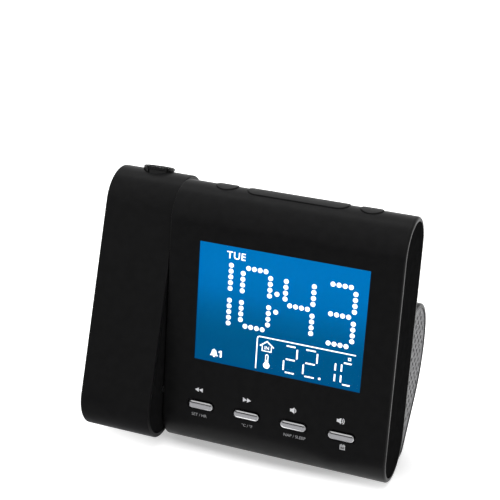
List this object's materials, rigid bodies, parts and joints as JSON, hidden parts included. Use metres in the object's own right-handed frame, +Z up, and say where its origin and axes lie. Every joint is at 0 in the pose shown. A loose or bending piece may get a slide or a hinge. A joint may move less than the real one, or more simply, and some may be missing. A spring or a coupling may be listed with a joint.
{
  "type": "projection alarm clock",
  "caption": "Desk alarm clock with a backlit display, push keys, a snooze bar, a speaker behind and a swinging side arm that projects the time through a focusing lens.",
  "frame": {"origin": "on the table plane, under the middle of the resting clock's bounding box", "axes": "+X to the user's right along the body, +Y to the back, +Z up"},
  "size_m": [0.1518, 0.0876, 0.1345],
  "materials": {
    "casing": "gloss black moulded plastic with a faint grain",
    "end_panel": "satin black",
    "grille": "fine-textured dark grey with round holes",
    "button": "satin black",
    "silver_key": "satin silver plated",
    "window": "clear acrylic",
    "lcd": "blue backlit liquid crystal glass",
    "light_guide": "milky diffusing plastic",
    "led_strip": "blue lamps under resin",
    "frame_plastic": "white moulded plastic",
    "circuit_board": "green solder mask",
    "board_parts": "black epoxy packages",
    "switch_plastic": "dark moulded plastic",
    "plunger": "natural nylon",
    "steel": "bright zinc-plated steel",
    "foot_rubber": "soft black rubber",
    "cone_paper": "black pulp cone",
    "ferrite": "grey-black ferrite",
    "jack_plastic": "black moulded plastic",
    "bay_plastic": "black moulded plastic",
    "cell_wrap": "plain printed wrap on a steel can",
    "pivot_plastic": "natural acetal",
    "friction_rubber": "hard rubber",
    "tube_plastic": "light-tight black plastic",
    "lens_glass": "polished clear lens",
    "red_lens": "polished lens lit red from below",
    "mask_glass": "small transmissive display",
    "red_lamp": "red lamp resin",
    "lead_sheath": "flexible grey sheath",
    "ring_gloss": "gloss black"
  },
  "bodies": {
    "clock_body": {"aerial_grommet": "foot_rubber", "backlight_strip": "led_strip", "battery_bay": "bay_plastic", "battery_cells": "cell_wrap", "battery_contacts": "steel", "board_components": "board_parts", "board_screws": "steel", "dc_jack": "jack_plastic", "display_window": "window", "front_feet": "foot_rubber", "front_shell": "casing", "housing_screws": "steel", "jack_pin": "steel", "key_board": "circuit_board", "key_switches": "switch_plastic", "lcd_frame": "frame_plastic", "lcd_panel": "lcd", "left_end_panel": "end_panel", "light_guide": "light_guide", "main_board": "circuit_board", "rear_feet": "foot_rubber", "rear_housing": "casing", "right_end_panel": "end_panel", "speaker_basket": "steel", "speaker_cone": "cone_paper", "speaker_grille": "grille", "speaker_magnet": "ferrite", "top_board": "circuit_board", "top_switches": "switch_plastic"},
    "projector_arm": {"arm_shell": "casing", "arm_end_panel": "end_panel", "arm_screws": "steel", "pivot_shaft": "pivot_plastic", "pivot_washer": "friction_rubber", "pivot_clip": "steel", "projector_tube": "tube_plastic", "led_board": "circuit_board", "projector_led": "red_lamp", "condenser_lens": "lens_glass", "mask_display": "mask_glass", "projector_cable": "lead_sheath"},
    "focus_ring": {"focus_ring": "ring_gloss"},
    "lens_carrier": {"lens_carrier": "tube_plastic", "projection_lens": "red_lens"},
    "battery_door": {"battery_door": "casing"},
    "back_key": {"back_key": "silver_key", "back_key_plunger": "plunger"},
    "forward_key": {"forward_key": "silver_key", "forward_key_plunger": "plunger"},
    "quieter_key": {"quieter_key": "silver_key", "quieter_key_plunger": "plunger"},
    "louder_key": {"louder_key": "silver_key", "louder_key_plunger": "plunger"},
    "projector_button": {"projector_button": "button", "projector_button_plunger": "plunger"},
    "snooze_bar": {"snooze_bar": "button", "snooze_bar_plunger": "plunger"},
    "alarm_button": {"alarm_button": "button", "alarm_button_plunger": "plunger"}
  },
  "joints": [
    {"name": "arm_swing", "type": "hinge", "parent": "clock_body", "child": "projector_arm", "pos_m": [-0.0387, 0.00124, 0.092], "axis": [-1, 0, 0], "range_deg": [-103.3, 76.7]},
    {"name": "lens_slide", "type": "slide", "parent": "projector_arm", "child": "lens_carrier", "axis": [0, 0.3851, 0.9229], "range_m": [-0.001, 0.001]},
    {"name": "focus_turn", "type": "hinge", "parent": "projector_arm", "child": "focus_ring", "pos_m": [-0.05735, 0.01715, 0.13011], "axis": [0, 0.3851, 0.9229], "range_deg": [-60, 60]},
    {"name": "back_key_press", "type": "slide", "parent": "clock_body", "child": "back_key", "axis": [0, 0.9867, -0.1625], "range_m": [0, 0.0008], "stiffness_N_per_m": 1500, "springref_m": -0.0001},
    {"name": "forward_key_press", "type": "slide", "parent": "clock_body", "child": "forward_key", "axis": [0, 0.9867, -0.1625], "range_m": [0, 0.0008], "stiffness_N_per_m": 1500, "springref_m": -0.0001},
    {"name": "quieter_key_press", "type": "slide", "parent": "clock_body", "child": "quieter_key", "axis": [0, 0.9867, -0.1625], "range_m": [0, 0.0008], "stiffness_N_per_m": 1500, "springref_m": -0.0001},
    {"name": "louder_key_press", "type": "slide", "parent": "clock_body", "child": "louder_key", "axis": [0, 0.9867, -0.1625], "range_m": [0, 0.0008], "stiffness_N_per_m": 1500, "springref_m": -0.0001},
    {"name": "projector_button_press", "type": "slide", "parent": "clock_body", "child": "projector_button", "axis": [0, -0.1625, -0.9867], "range_m": [0, 0.0005], "stiffness_N_per_m": 1500, "springref_m": -0.0001},
    {"name": "snooze_bar_press", "type": "slide", "parent": "clock_body", "child": "snooze_bar", "axis": [0, -0.1625, -0.9867], "range_m": [0, 0.0005], "stiffness_N_per_m": 1500, "springref_m": -0.0001},
    {"name": "alarm_button_press", "type": "slide", "parent": "clock_body", "child": "alarm_button", "axis": [0, -0.1625, -0.9867], "range_m": [0, 0.0005], "stiffness_N_per_m": 1500, "springref_m": -0.0001},
    {"name": "battery_door_lift", "type": "slide", "parent": "clock_body", "child": "battery_door", "axis": [0, 0.3746, 0.9272], "range_m": [0, 0.03]}
  ],
  "couplings": [
    {"joint": "focus_turn", "follows": "lens_slide", "rad_per_m": 1047.2}
  ]
}
